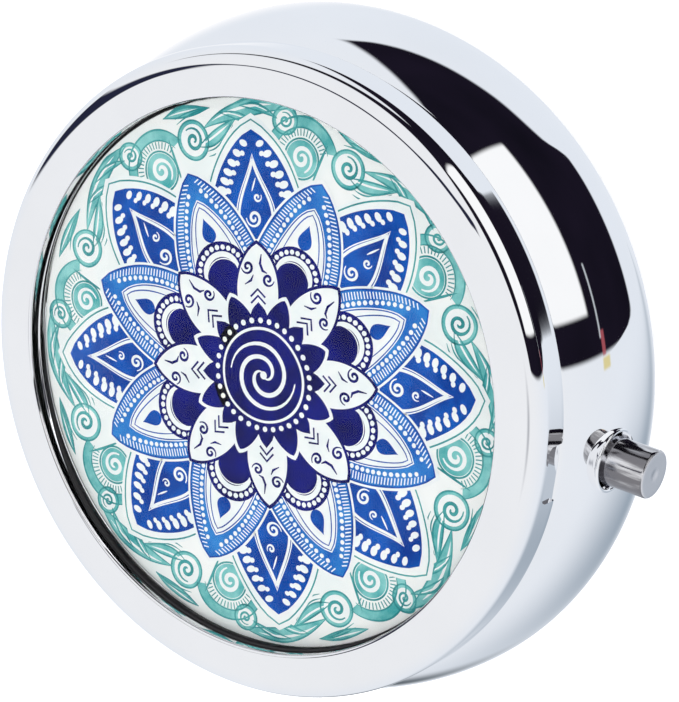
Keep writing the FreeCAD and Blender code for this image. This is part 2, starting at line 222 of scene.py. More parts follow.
def box_mesh(name, x, y, z):
    """Closed box between pairs of millimetre coordinates, used only as a cutter."""
    work = bmesh.new()
    bmesh.ops.create_cube(work, size=1)
    for vert in work.verts:
        pick = [pair[0] if part < 0 else pair[1] for pair, part in zip((x, y, z), vert.co)]
        vert.co = mm(*pick)
    return made_mesh(name, work)


def prism_mesh(name, outline, y):
    """Closed prism along Y from an (x, z) outline, used only as a cutter."""
    work = bmesh.new()
    front = [work.verts.new(mm(x, y[0], z)) for x, z in outline]
    back = [work.verts.new(mm(x, y[1], z)) for x, z in outline]
    work.faces.new(front)
    work.faces.new(back[::-1])
    for step in range(len(outline)):
        after = (step + 1) % len(outline)
        work.faces.new([front[step], back[step], back[after], front[after]])
    return made_mesh(name, work)


def cut(mesh, *cutters):
    """The mesh with each cutter taken out of it."""
    for cutter in cutters:
        body = bpy.data.objects.new("cut_body", mesh)
        tool = bpy.data.objects.new("cut_tool", cutter)
        for thing in (body, tool):
            bpy.context.scene.collection.objects.link(thing)
        boolean = body.modifiers.new("cut", "BOOLEAN")
        boolean.operation = "DIFFERENCE"
        boolean.solver = "EXACT"
        boolean.object = tool
        graph = bpy.context.evaluated_depsgraph_get()
        made = bpy.data.meshes.new_from_object(body.evaluated_get(graph))
        for thing in (body, tool):
            bpy.data.objects.remove(thing)
        bpy.data.meshes.remove(cutter)
        mesh = made
    return mesh


# ---- material helpers
class Nodes:
    """Short names for making and linking the nodes of one tree."""

    def __init__(self, tree):
        self.tree = tree
        tree.nodes.clear()

    def add(self, kind, **settings):
        node = self.tree.nodes.new(kind)
        for key, value in settings.items():
            setattr(node, key, value)
        return node

    def join(self, source, target):
        self.tree.links.new(source, target)

    def math(self, operation, first, second=None):
        node = self.add("ShaderNodeMath", operation=operation)
        for socket, value in zip(node.inputs, (first, second)):
            if value is None:
                continue
            if isinstance(value, (int, float)):
                socket.default_value = value
            else:
                self.join(value, socket)
        return node.outputs[0]

    def map_range(self, value, side, low, high, shape):
        node = self.add("ShaderNodeMapRange", interpolation_type=shape)
        self.join(value, node.inputs["Value"])
        node.inputs[side + " Min"].default_value = low
        node.inputs[side + " Max"].default_value = high
        return node.outputs["Result"]

    def step(self, value, low, high):
        """Smooth 0 to 1 as the value goes from low to high."""
        return self.map_range(value, "From", low, high, "SMOOTHSTEP")

    def spread(self, value, low, high):
        """A 0 to 1 value spread between two numbers."""
        return self.map_range(value, "To", low, high, "LINEAR")

    def mix(self, factor, first, second):
        """Colour mix. The two colours are tuples or sockets."""
        node = self.add("ShaderNodeMix", data_type="RGBA")
        self.join(factor, node.inputs["Factor"])
        for socket, value in ((node.inputs[6], first), (node.inputs[7], second)):
            if isinstance(value, tuple):
                socket.default_value = (*value, 1)
            else:
                self.join(value, socket)
        return node.outputs[2]

    def noise(self, vector, scale, detail=2.0, roughness=0.5):
        node = self.add("ShaderNodeTexNoise")
        self.join(vector, node.inputs["Vector"])
        node.inputs["Scale"].default_value = scale
        node.inputs["Detail"].default_value = detail
        node.inputs["Roughness"].default_value = roughness
        return node.outputs[0]

    def object_point(self, stretch=(1, 1, 1)):
        """Position on the piece itself, stretched by a factor along each axis."""
        coordinates = self.add("ShaderNodeTexCoord")
        mapping = self.add("ShaderNodeMapping")
        mapping.inputs["Scale"].default_value = stretch
        self.join(coordinates.outputs["Object"], mapping.inputs["Vector"])
        return mapping.outputs["Vector"]

    def bump(self, height, strength, distance):
        node = self.add("ShaderNodeBump")
        node.inputs["Strength"].default_value = strength
        node.inputs["Distance"].default_value = distance
        self.join(height, node.inputs["Height"])
        return node.outputs["Normal"]


def srgb(red, green, blue):
    """Linear colour from 0 to 255 display values."""
    def linear(value):
        value /= 255
        return value / 12.92 if value <= 0.04045 else ((value + 0.055) / 1.055) ** 2.4
    return (linear(red), linear(green), linear(blue))


def principled(name, **values):
    """A new material's node helper and its shader, with uniform values set on the shader."""
    material = bpy.data.materials.new(name)
    material.use_nodes = True
    nodes = Nodes(material.node_tree)
    output = nodes.add("ShaderNodeOutputMaterial")
    shader = nodes.add("ShaderNodeBsdfPrincipled")
    nodes.join(shader.outputs[0], output.inputs["Surface"])
    for key, value in values.items():
        shader.inputs[key.replace("_", " ")].default_value = value
    return material, nodes, shader


def metal(name, dark, light, rough, grain=900.0, stretch=(1, 1, 1), depth=0.0000006):
    """Metal with a faint tone drift, a drifting polish and fine marks in one direction."""
    material, nodes, shader = principled(name, Metallic=1.0)
    point = nodes.object_point()
    drift = nodes.noise(point, 140, 3)
    marks = nodes.noise(nodes.object_point(stretch), grain, 4, 0.6)
    nodes.join(nodes.mix(drift, dark, light), shader.inputs["Base Color"])
    blend = nodes.math("MULTIPLY", nodes.math("ADD", drift, marks), 0.5)
    nodes.join(nodes.spread(blend, *rough), shader.inputs["Roughness"])
    nodes.join(nodes.bump(marks, 0.25, depth), shader.inputs["Normal"])
    return material


def reflection_streaked_metal(name, dark, light, rough, stretch):
    """Plating with painted reflections: long dark and bright streaks in its colour that run one way,
    standing in for reflected surroundings.
    """
    material, nodes, shader = principled(name, Metallic=1.0)
    broad = nodes.noise(nodes.object_point(stretch), 900, 2)
    fine = nodes.noise(nodes.object_point(stretch), 3800, 3, 0.6)
    blend = nodes.math("ADD", nodes.math("MULTIPLY", broad, 0.7), nodes.math("MULTIPLY", fine, 0.3))
    # Painted reflection: dark and bright streaks laid into the base colour.
    painted_reflection_streaks = nodes.step(blend, 0.41, 0.60)
    nodes.join(nodes.mix(painted_reflection_streaks, dark, light), shader.inputs["Base Color"])
    nodes.join(nodes.spread(fine, *rough), shader.inputs["Roughness"])
    nodes.join(nodes.bump(fine, 0.3, 0.000001), shader.inputs["Normal"])
    return material


def plastic(name, low, high, rough, grain, depth, **values):
    """Moulded plastic: clouded tone and a fine spark-eroded grain."""
    material, nodes, shader = principled(name, **values)
    cloud = nodes.noise(nodes.object_point(), 220, 4)
    texture = nodes.noise(nodes.object_point(), grain, 3, 0.7)
    nodes.join(nodes.mix(cloud, low, high), shader.inputs["Base Color"])
    nodes.join(nodes.spread(texture, *rough), shader.inputs["Roughness"])
    nodes.join(nodes.bump(texture, 0.4, depth), shader.inputs["Normal"])
    return material


def foam():
    material, nodes, shader = principled("pad_foam", Roughness=0.9)
    cells = nodes.add("ShaderNodeTexVoronoi")
    nodes.join(nodes.object_point(), cells.inputs["Vector"])
    cells.inputs["Scale"].default_value = 3200
    shade = nodes.mix(cells.outputs["Distance"], srgb(246, 246, 244), srgb(206, 208, 210))
    nodes.join(shade, shader.inputs["Base Color"])
    nodes.join(nodes.bump(cells.outputs["Distance"], 0.8, 0.00004), shader.inputs["Normal"])
    return material


def mirror_silver():
    material, nodes, shader = principled(
        "mirror_silver", Metallic=1.0, Coat_Weight=1.0, Coat_Roughness=0.01)
    film = nodes.noise(nodes.object_point(), 90, 5)
    nodes.join(nodes.mix(film, srgb(236, 241, 240), srgb(246, 249, 249)), shader.inputs["Base Color"])
    nodes.join(nodes.spread(film, 0.004, 0.02), shader.inputs["Roughness"])
    return material


def clear_glass():
    material, nodes, shader = principled(
        "clear_dome", Transmission_Weight=1.0, IOR=1.18)
    shader.inputs["Base Color"].default_value = (1, 1, 1, 1)
    smear = nodes.noise(nodes.object_point((1, 2.2, 1)), 180, 4)
    nodes.join(nodes.spread(smear, 0.0, 0.012), shader.inputs["Roughness"])
    return material


def ink(name, pale, deep, patch=420.0):
    """Printed ink: pen and brush tone that pools and thins, over paper fibre."""
    material, nodes, shader = principled(name, Roughness=0.7, Specular_IOR_Level=0.08)
    point = nodes.object_point()
    pool = nodes.step(nodes.noise(point, patch, 4, 0.6), 0.3, 0.72)
    fibre = nodes.noise(nodes.object_point((1, 3, 1)), 5200, 3)
    tone = nodes.mix(pool, pale, deep)
    nodes.join(nodes.mix(nodes.spread(fibre, 0.0, 0.16), tone, pale), shader.inputs["Base Color"])
    nodes.join(nodes.bump(fibre, 0.2, 0.000004), shader.inputs["Normal"])
    return material


# ---- the shells
def thumb_notch():
    """Cutter for the shallow scoop under the lid's edge."""
    low = SKIRT_Z - PAST
    left = arc((-THUMB_HALF + THUMB_ROUND, THUMB_TOP - THUMB_ROUND), THUMB_ROUND, 180, 90, 8)
    right = arc((THUMB_HALF - THUMB_ROUND, THUMB_TOP - THUMB_ROUND), THUMB_ROUND, 90, 0, 8)
    outline = [(-THUMB_HALF, low)] + left + right + [(THUMB_HALF, low)]
    return prism_mesh("thumb_notch", outline, (-LID_R - PAST, THUMB_BACK - LID_R))


def hinge_notch(z):
    across = (-HINGE_NOTCH_HALF, HINGE_NOTCH_HALF)
    return box_mesh("hinge_notch", across, (HINGE_NOTCH_Y, BULGE_R + PAST), z)


def lid_section():
    """The lid's one sheet: skirt, rounded edge, flat rim, recess wall and recess floor."""
    inner = RIM_ROUND - WALL
    rim_centre = (LID_R - RIM_ROUND, RIM_Z - RIM_ROUND)
    recess_centre = (RECESS_R + RECESS_ROUND, RIM_Z - RECESS_ROUND)
    skirt_in = LID_R - WALL
    section = [(skirt_in, SKIRT_Z)]
    section += line(section[-1], (LID_R - EDGE_ROUND, SKIRT_Z))
    section += arc((LID_R - EDGE_ROUND, SKIRT_Z + EDGE_ROUND), EDGE_ROUND, -90, 0, 5)[1:]
    section += line(section[-1], (LID_R, rim_centre[1]), 5)
    section += arc(rim_centre, RIM_ROUND, 0, 90, 28)[1:]
    section += line(section[-1], (recess_centre[0], RIM_Z), 3)
    section += arc(recess_centre, RECESS_ROUND, 90, 180, 8)[1:]
    section += line(section[-1], (RECESS_R, FLOOR_Z), 3)
    section += line(section[-1], (0, FLOOR_Z), 3)
    section += [(0, FLOOR_Z - FLOOR_SHEET), (RECESS_R + WALL, FLOOR_Z - FLOOR_SHEET)]
    section += line(section[-1], (RECESS_R + WALL, RIM_Z - WALL), 3)
    section += [(rim_centre[0], RIM_Z - WALL)]
    section += arc(rim_centre, inner, 90, 0, 8)[1:]
    return section


def base_radius(z, inset):
    """Radius of the base's side above its widest ring, that far inside its outer face."""
    swell = BULGE_R - SEAM_R
    flank = ((SEAM_Z - CORNER_R) ** 2 + swell ** 2) / (2 * swell)
    return BULGE_R - flank + math.sqrt((flank - inset) ** 2 - (z - CORNER_R) ** 2)


def base_section():
    """The base's one sheet, from under the floor round the swell to the seam and back."""
    corner = (BULGE_R - CORNER_R, CORNER_R)
    section = [(0, 0), (corner[0] * 0.5, 0)] + arc(corner, CORNER_R, -90, 0, 34)
    heights = [CORNER_R + (SEAM_Z - EDGE_ROUND - CORNER_R) * step / 34 for step in range(1, 35)]
    section += [(base_radius(z, 0), z) for z in heights]
    top = (SEAM_R - EDGE_ROUND * 0.9, SEAM_Z - EDGE_ROUND)
    section += arc(top, EDGE_ROUND, 20, 90, 4)[1:]
    section += [(base_radius(SEAM_Z, WALL), SEAM_Z)]
    section += [(base_radius(z, WALL), z) for z in heights[::-4]]
    section += arc(corner, CORNER_R - WALL, 0, -90, 12)
    return section + [(0, WALL)]


def make_lid(material):
    mesh = cut(lathe("lid_shell_smooth", lid_section()),
               hinge_notch((SKIRT_Z - PAST, HINGE_NOTCH_ROOF)), thumb_notch())
    sharpen(mesh)
    shell = new_object("lid_shell_chrome", mesh, "lid", material)
    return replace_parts(shell, "lid_shell")


def make_base(material):
    start, end = BASE_LOW.y - PAST, BASE_LOW.y + 4
    hole = lathe_y("bush_hole", [(0, start), (BUSH_OUTER, start), (BUSH_OUTER, end), (0, end)], 64)
    mesh = cut(lathe("base_shell_smooth", base_section()),
               hinge_notch((HINGE_NOTCH_FLOOR, SEAM_Z + PAST)), hole)
    sharpen(mesh)
    shell = new_object("base_shell_chrome", mesh, "base", material)
    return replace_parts(shell, "base_shell")


def lathe_y(name, section, segments):
    """Closed section (radius, y) turned about the button's axis."""
    mesh = lathe(name, section, segments)
    turn = Matrix.Rotation(math.radians(-90), 4, "X")
    mesh.transform(Matrix.Translation((0, 0, mm(BUTTON_Z))) @ turn)
    return mesh


def make_button(body_metal, face_metal):
    """Turned button with a bevelled tip, its flange behind the eyelet, and its stem."""
    tip = BUTTON_LOW.y
    flange = BUSH_HIGH.y + FLANGE_GAP
    section = [(0, tip + DIMPLE_DEEP), (DIMPLE_FLOOR_R, tip + DIMPLE_DEEP), (DIMPLE_R, tip)]
    section += line(section[-1], (BUTTON_R - BUTTON_BEVEL, tip), 4)
    section += arc((BUTTON_R - BUTTON_BEVEL, tip + BUTTON_BEVEL), BUTTON_BEVEL, -90, 0, 8)[1:]
    section += line(section[-1], (BUTTON_R, flange), 8)
    section += [(FLANGE_R, flange), (FLANGE_R, flange + FLANGE_THICK)]
    section += [(STEM_R, flange + FLANGE_THICK), (STEM_R, STEM_END_Y), (TAIL_R, STEM_END_Y)]
    section += [(TAIL_R, BUTTON_HIGH.y - TAIL_CHAMFER), (TAIL_END_R, BUTTON_HIGH.y), (0, BUTTON_HIGH.y)]
    mesh = lathe_y("push_button_smooth", section, 128)
    sharpen(mesh, 40)
    button = new_object("push_button_turned", mesh, "button", body_metal)
    mesh.materials.append(face_metal)
    for polygon in mesh.polygons:
        if polygon.center.y < mm(tip + FACE_DEEP):
            polygon.material_index = 1
    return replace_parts(button, "push_button")


def make_bush(material):
    """Eyelet round the button, with a thin rolled collar and a dark mouth."""
    front, roll = BUSH_LOW.y, COLLAR_ROLL
    section = [(BUSH_BORE, BUSH_HIGH.y), (BUSH_OUTER, BUSH_HIGH.y), (BUSH_OUTER, front + COLLAR_BACK)]
    section += [(COLLAR_R, front + COLLAR_FOOT)]
    section += arc((COLLAR_R - roll, front + COLLAR_SET + roll), roll, 0, -150, 12)
    section += [(BUSH_BORE + MOUTH_WIDE, front + MOUTH_DEEP), (BUSH_BORE, front + MOUTH_END)]
    mesh = lathe_y("button_bush_smooth", section, 128)
    sharpen(mesh, 40)
    bush = new_object("button_bush_collar", mesh, "base", material)
    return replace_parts(bush, "button_bush")


def make_dome(material):
    """Shallow clear cap: a part of a sphere over a rolled edge."""
    radius, bottom, crown = DOME_HIGH.x, DOME_LOW.z, DOME_HIGH.z
    start = radius - DOME_ROLL
    rise = crown - bottom - DOME_EDGE
    sphere = (start ** 2 + rise ** 2) / (2 * rise)
    spread = math.degrees(math.asin(start / sphere))
    section = [(0, bottom), (radius * 0.5, bottom)]
    section += [(radius - DOME_CHAMFER, bottom), (radius, bottom + DOME_CHAMFER)]
    section += arc((start, bottom + DOME_EDGE - DOME_ROLL), DOME_ROLL, 0, 90 - spread, 12)
    cap = arc((0, crown - sphere), sphere, 90 - spread, 90, 40)
    section += cap[1:-1] + [(0, crown)]
    mesh = lathe("dome_smooth", section, 256)
    sharpen(mesh, 50)
    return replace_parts(new_object("dome_clear", mesh, "lid", material), "dome")


def make_shadow_bead(material):
    """Dark ring in the gap round the dome, a painted shadow of that gap, laid thicker on one side than
    the other where the shade shows.
    """
    inner, outer = DOME_HIGH.x + BEAD_GAP, RECESS_R - BEAD_GAP
    mesh = lathe("dome_shadow_bead", [(inner, -1), (outer, -1), (outer, 1), (inner, 1)], 192)
    for vert in mesh.vertices:
        turn = math.degrees(math.atan2(vert.co.y, vert.co.x))
        lean = math.cos(math.radians(turn - BEAD_SHADOW_SIDE))
        share = min(1, max(0, (lean - BEAD_START) / BEAD_RISE))
        top = BEAD_LOW + (BEAD_TOP - BEAD_LOW) * share
        vert.co.z = mm(top if vert.co.z > 0 else DOME_LOW.z + BEAD_GAP)
    new_object("dome_shadow_bead", mesh, "lid", material)


def make_spring(material):
    """The coil as a tube swept along its helix."""
    steps, around = 120, 12
    radius = SPRING_HIGH.x - SPRING_WIRE
    start = SPRING_LOW.y + SPRING_SEAT
    length = SPRING_HIGH.y - SPRING_SEAT - start
    work = bmesh.new()
    rings = []
    for step in range(steps + 1):
        share = step / steps
        turn = 2 * math.pi * SPRING_TURNS * share
        out = Vector((math.cos(turn), 0, math.sin(turn)))
        centre = out * radius + Vector((0, start + length * share, BUTTON_Z))
        along = Vector((0, 1, 0))
        ring = []
        for spoke in range(around):
            swing = 2 * math.pi * spoke / around
            side = out * math.cos(swing) + along * math.sin(swing)
            ring.append(work.verts.new((centre + side * SPRING_WIRE) / 1000))
        rings.append(ring)
    for near, far in zip(rings, rings[1:]):
        for spoke in range(around):
            after = (spoke + 1) % around
            work.faces.new([near[spoke], near[after], far[after], far[spoke]])
    work.faces.new(rings[0][::-1])
    work.faces.new(rings[-1])
    mesh = made_mesh("button_spring_coil", work)
    coil = new_object("button_spring_coil", mesh, "base", material)
    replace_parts(coil, "button_spring")
    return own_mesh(coil)


# ---- the print: an own eightfold mandala
PETALS = 8
TURN = 360 / PETALS
FIRST_PETAL = 12.0
INK = 0.002
SHAPE_RISE, SHAPE_STEPS = 0.0003, 7
PRINT_DROP = 0.1    # room for the inks under the top of the CAD disc
LAYER = 0.004
PAPER_CHAMFER, PAPER_EDGE = 0.03, 0.02
PRINT_EDGE = 0.992
HAND_DRIFT, HAND_SHAKE = 0.0035, 0.0018
OUTER_FOOT, OUTER_TIP, OUTER_HALF = 0.42, 0.885, 0.192
MIDDLE_FOOT, MIDDLE_TIP, MIDDLE_HALF = 0.28, 0.762, 0.176


class Sheet:
    """One ink's flat shapes. Points are shares of the disc's radius."""

    def __init__(self, level):
        self.work = bmesh.new()
        self.level = level
        self.shapes = 0

    def next_shape(self):
        """Shapes that cross in one ink lie a hair apart, so their faces never coincide."""
        self.shapes = (self.shapes + 1) % SHAPE_STEPS

    def place(self, point, drop):
        """Vertex of a shape, moved a little as by an unsteady hand and kept on the disc."""
        x, y = point
        x, y = (x + HAND_DRIFT * math.sin(11 * y + 2.1) + HAND_SHAKE * math.sin(31 * x + 1.3),
                y + HAND_DRIFT * math.sin(10 * x - 0.7) + HAND_SHAKE * math.sin(29 * y + 4.2))
        radius = math.hypot(x, y)
        if radius > PRINT_EDGE:
            x, y = x * PRINT_EDGE / radius, y * PRINT_EDGE / radius
        height = ART_Z - PRINT_DROP + LAYER * self.level + SHAPE_RISE * self.shapes - drop
        return self.work.verts.new(mm(x * ART_R, y * ART_R, height))

    def fill(self, points):
        """Closed outline filled and given the ink's thickness."""
        self.next_shape()
        flat = [Vector((x, y, 0)) for x, y in points]
        top = [self.place(p, 0) for p in points]
        low = [self.place(p, INK) for p in points]
        for corners in tessellate_polygon([flat]):
            self.work.faces.new([top[i] for i in corners])
            self.work.faces.new([low[i] for i in corners][::-1])
        for step in range(len(points)):
            after = (step + 1) % len(points)
            self.work.faces.new([top[step], low[step], low[after], top[after]])

    def stroke(self, points, width, taper=0.35, closed=False):
        """A pen line along the points that thins towards its ends."""
        self.next_shape()
        count = len(points)
        left, right = [], []
        for step, (x, y) in enumerate(points):
            before = points[step - 1] if step or closed else points[0]
            after = points[(step + 1) % count] if step < count - 1 or closed else points[-1]
            dx, dy = after[0] - before[0], after[1] - before[1]
            size = math.hypot(dx, dy) or 1
            share = step / (count - 1)
            ends = 1 if closed else taper + (1 - taper) * min(1, 4 * share, 4 * (1 - share))
            half = width * ends / 2
            left.append((x - dy / size * half, y + dx / size * half))
            right.append((x + dy / size * half, y - dx / size * half))
        tops = [[self.place(p, 0) for p in side] for side in (left, right)]
        lows = [[self.place(p, INK) for p in side] for side in (left, right)]
        for step in range(count if closed else count - 1):
            after = (step + 1) % count
            a, b = (tops[0][step], tops[1][step]), (tops[0][after], tops[1][after])
            c, d = (lows[0][step], lows[1][step]), (lows[0][after], lows[1][after])
            for corners in ((a[0], a[1], b[1], b[0]), (c[0], d[0], d[1], c[1]),
                            (a[0], b[0], d[0], c[0]), (a[1], c[1], d[1], b[1])):
                self.work.faces.new(corners)
        if not closed:
            for end in (0, -1):
                self.work.faces.new([tops[0][end], tops[1][end], lows[1][end], lows[0][end]])

    def dot(self, centre, radius, squash=1.0, turn=0.0, points=12):
        """Round or oval spot."""
        c, s = math.cos(math.radians(turn)), math.sin(math.radians(turn))
        outline = []
        for step in range(points):
            swing = 2 * math.pi * step / points
            u, v = radius * math.cos(swing), radius * squash * math.sin(swing)
            outline.append((centre[0] + u * c - v * s, centre[1] + u * s + v * c))
        self.fill(outline)

    def finish(self, name, material):
        """Turns the shapes into one piece of the print."""
        new_object(name, made_mesh(name, self.work), "lid", material, smooth=False)


def polar(radius, degrees):
    turn = math.radians(degrees)
    return (radius * math.cos(turn), radius * math.sin(turn))


def along(axis, x, y):
    """Point x out along a petal's axis and y across it."""
    turn = math.radians(axis)
    return (x * math.cos(turn) - y * math.sin(turn), x * math.sin(turn) + y * math.cos(turn))


def moved(point, centre):
    return (centre[0] + point[0], centre[1] + point[1])


def circle(radius, centre, points):
    return [moved(polar(radius, 360 * step / points), centre) for step in range(points)]


def arc_round(centre, radius, start, end, points):
    turns = (start + (end - start) * step / points for step in range(points + 1))
    return [moved(polar(radius, turn), centre) for turn in turns]


def spiral(centre, radius, start, turns, points=30, inner=0.12):
    """Curl that winds inwards. Negative turns wind the other way."""
    curl = []
    for step in range(points + 1):
        share = step / points
        reach = radius * (1 - (1 - inner) * share ** 0.85)
        curl.append(moved(polar(reach, start + 360 * turns * share), centre))
    return curl


def ogee(share, belly=1.1, sharp=0.75):
    """Half width of a pointed petal at a share of its length."""
    return (1 - share) ** sharp * (1 + belly * share)


def tear(share):
    """Half width of a drop at a share of its length."""
    return math.sin(math.pi * share ** 0.7) * (1 - share) ** 0.25


def slim(share):
    """Half width of a leaf that swells early."""
    return ogee(share, 2.2, 0.8)


def petal(axis, start, tip, half, shape=ogee, points=20):
    """Outline of a petal, from its foot round its tip and back."""
    shares = [step / points for step in range(points + 1)]
    left = [along(axis, start + (tip - start) * s, half * shape(s)) for s in shares]
    right = [along(axis, start + (tip - start) * s, -half * shape(s)) for s in shares[:-1]]
    foot = shape(0) < TINY
    return left + right[::-1][:len(right) - (1 if foot else 0)]


def petal_edge(axis, start, tip, half, inset, shares, side):
    """Points just inside one edge of a petal."""
    return [along(axis, start + (tip - start) * s, side * (half * ogee(s) - inset)) for s in shares]


def flow(radii, angles, bulge, points=16):
    """Line that sweeps round the disc from one radius and angle to another, bowed outwards."""
    shares = [step / points for step in range(points + 1)]
    return [polar(radii[0] + (radii[1] - radii[0]) * s + bulge * math.sin(math.pi * s),
                  angles[0] + (angles[1] - angles[0]) * s) for s in shares]


def ribbon(wash, pen, gap, radii, angles, bulge, thick):
    """Brushed lens along a flowing line, with a pen line on each edge and a white vein."""
    upper, lower = (flow(radii, angles, bulge + side * thick) for side in (1, -1))
    wash.fill(upper + lower[::-1][1:-1])
    pen.stroke(upper, 0.0065, 0.3)
    pen.stroke(lower, 0.0065, 0.3)
    gap.stroke(flow(radii, angles, bulge + 0.25 * thick)[2:-3], 0.34 * thick, 0.1)


def draw_scrolls(wash, pen, gap):
    """Teal field: a roundel with a hatched fan, a curl and ribbons for each petal."""
    for k in range(PETALS):
        valley = FIRST_PETAL + TURN * (k + 0.5)
        draw_fan(wash, pen, gap, polar(0.815, valley + 7.6), valley + 14)
        draw_curl(wash, pen, gap, valley)
        for radii, angles, bulge, thick in (
            ((0.895, 0.975), (valley - 9.0, valley - 32), 0.022, 0.029),
            ((0.840, 0.925), (valley - 6.5, valley - 18.5), -0.020, 0.022),
            ((0.972, 0.966), (valley + 1, valley - 12), -0.004, 0.016),
            ((0.740, 0.900), (valley + 3.0, valley + 1.5), 0.0, 0.012),
            ((0.945, 0.880), (valley + 30.5, valley + 19.5), 0.014, 0.014),
            ((0.970, 0.935), (valley + 25.5, valley + 15.5), 0.012, 0.011),
        ):
            ribbon(wash, pen, gap, radii, angles, bulge, thick)
        for rise in (0.0, 0.018):
            pen.stroke(flow((0.800 + rise, 0.900 + rise), (valley - 9, valley - 17.5), -0.030), 0.0055)
            pen.stroke(flow((0.935 + rise, 0.965), (valley - 2, valley - 12), 0.006), 0.0055)


def draw_fan(wash, pen, gap, centre, facing):
    """Roundel with a white curl, and the hatched fan that stands behind it."""
    outer = arc_round(centre, 0.150, facing - 74, facing + 78, 26)
    wash.fill(outer + arc_round(centre, 0.112, facing + 74, facing - 70, 22))
    pen.stroke(outer, 0.007)
    pen.stroke(arc_round(centre, 0.112, facing - 74, facing + 78, 24), 0.006)
    for step in range(18):
        swing = facing - 68 + 8.4 * step
        pen.stroke([moved(polar(reach, swing), centre) for reach in (0.082, 0.108)], 0.006, 0.7)
    wash.dot(centre, 0.066, points=30)
    pen.stroke(circle(0.072, centre, 36), 0.007, closed=True)
    gap.stroke(spiral(centre, 0.050, facing + 200, 1.6, 34, 0.16), 0.0165)


def draw_curl(wash, pen, gap, valley):
    """White curl with a teal outline, and a smaller one beyond the petal's tip."""
    for radius, angle, size in ((0.866, valley - 5.3, 0.056), (0.932, valley - 31.5, 0.037)):
        centre = polar(radius, angle)
        wash.dot(centre, size + 0.010, points=28)
        pen.stroke(circle(size + 0.013, centre, 34), 0.0065, closed=True)
        gap.dot(centre, size, points=26)
        pen.stroke(spiral(centre, size * 0.82, angle + 30, -1.6, 32, 0.1), size * 0.24)


def draw_outer_petals(halo, fill, pen, gap):
    """Royal blue pointed petals with cloud scallops and a curled drop inside."""
    for k in range(PETALS):
        axis = FIRST_PETAL + TURN * k
        halo.fill(petal(axis, 0.40, 0.945, 0.225))
        pen.stroke(petal(axis, 0.41, 0.922, 0.213)[2:-2], 0.006)
        fill.fill(petal(axis, OUTER_FOOT, OUTER_TIP, OUTER_HALF))
        for side in (-1, 1):
            shares = [0.14 + 0.075 * step for step in range(11)]
            places = petal_edge(axis, OUTER_FOOT, OUTER_TIP, OUTER_HALF, 0.036, shares, side)
            inners = petal_edge(axis, OUTER_FOOT, OUTER_TIP, OUTER_HALF, 0.060, shares, side)
            for share, place, inner in zip(shares, places, inners):
                size = 0.0235 - 0.009 * share
                gap.dot(place, size * 1.15, 0.66, axis + side * 70, 14)
                if share < 0.85:
                    gap.dot(inner, size * 0.66, 0.85, axis + side * 70, 10)


def draw_petal_hearts(gap, pen):
    """White outlined drop with two curls in each royal petal."""
    for k in range(PETALS):
        axis = FIRST_PETAL + TURN * k
        gap.stroke(petal(axis, 0.475, 0.778, 0.080, tear)[1:], 0.0105, closed=True)
        gap.stroke(spiral(along(axis, 0.570, 0.006), 0.034, axis + 90, 1.6), 0.011)
        gap.stroke(spiral(along(axis, 0.643, -0.012), 0.019, axis - 60, -1.3, 20), 0.008)
        gap.stroke([along(axis, 0.665 + 0.05 * s, 0.010 - 0.02 * s) for s in (0, 0.3, 0.6, 1)], 0.007)
        pen.stroke(petal(axis, 0.46, 0.797, 0.094, tear)[1:], 0.0045, closed=True)


def draw_middle_petals(fill, gap, petal_white, pen):
    """Sky blue petals: hatched border, a bead row and a white lotus leaf."""
    for k in range(PETALS):
        axis = FIRST_PETAL + TURN * (k + 0.5)
        start, tip, half = MIDDLE_FOOT, MIDDLE_TIP, MIDDLE_HALF
        gap.fill(petal(axis, start, tip + 0.020, half + 0.010))
        fill.fill(petal(axis, start, tip, half))
        pen.stroke(petal(axis, start, tip, half)[1:-1], 0.006)
        for side in (-1, 1):
            shares = [0.20 + 0.0245 * step for step in range(32)]
            outer = petal_edge(axis, start, tip, half, 0.008, shares, side)
            inner = petal_edge(axis, start, tip, half, 0.036, [s - 0.012 for s in shares], side)
            for near, far, share in zip(outer, inner, shares):
                if share < 0.955:
                    petal_white.stroke([near, far], 0.0052, 0.9)
            beads = [0.24 + 0.047 * step for step in range(14)]
            for place in petal_edge(axis, start, tip, half, 0.050, beads, side):
                petal_white.dot(place, 0.0088, points=10)
        petal_white.fill(petal(axis, start, 0.668, 0.118))
        pen.stroke(petal(axis, start, 0.660, 0.112)[2:-2], 0.0045)
        pen.fill(petal(axis, 0.505, 0.600, 0.032, tear))
        pen.stroke(petal(axis, start + 0.05, 0.640, 0.082)[6:-6], 0.0045)


def draw_arches(navy, dots):
    """Navy arches between the inner leaves, with dots and a paler bow."""
    for k in range(PETALS):
        axis = FIRST_PETAL + TURN * (k + 0.5)
        centre = polar(0.385, axis)
        navy.dot(centre, 0.122, points=40)
        for place in arc_round(centre, 0.101, axis - 105, axis + 105, 15):
            dots.dot(place, 0.0098, points=10)
        inner = arc_round(centre, 0.076, axis - 110, axis + 110, 22)
        dots.stroke(inner, 0.020)
        dots.stroke([(x * 0.965, y * 0.965) for x, y in inner][5:-5], 0.004)


def draw_inner_leaves(white, navy):
    """White leaves with curls and a notched foot, outlined in navy."""
    for k in range(PETALS):
        axis = FIRST_PETAL + TURN * k
        navy.fill(petal(axis, 0.20, 0.492, 0.078, slim))
        white.fill(petal(axis, 0.21, 0.478, 0.069, slim))


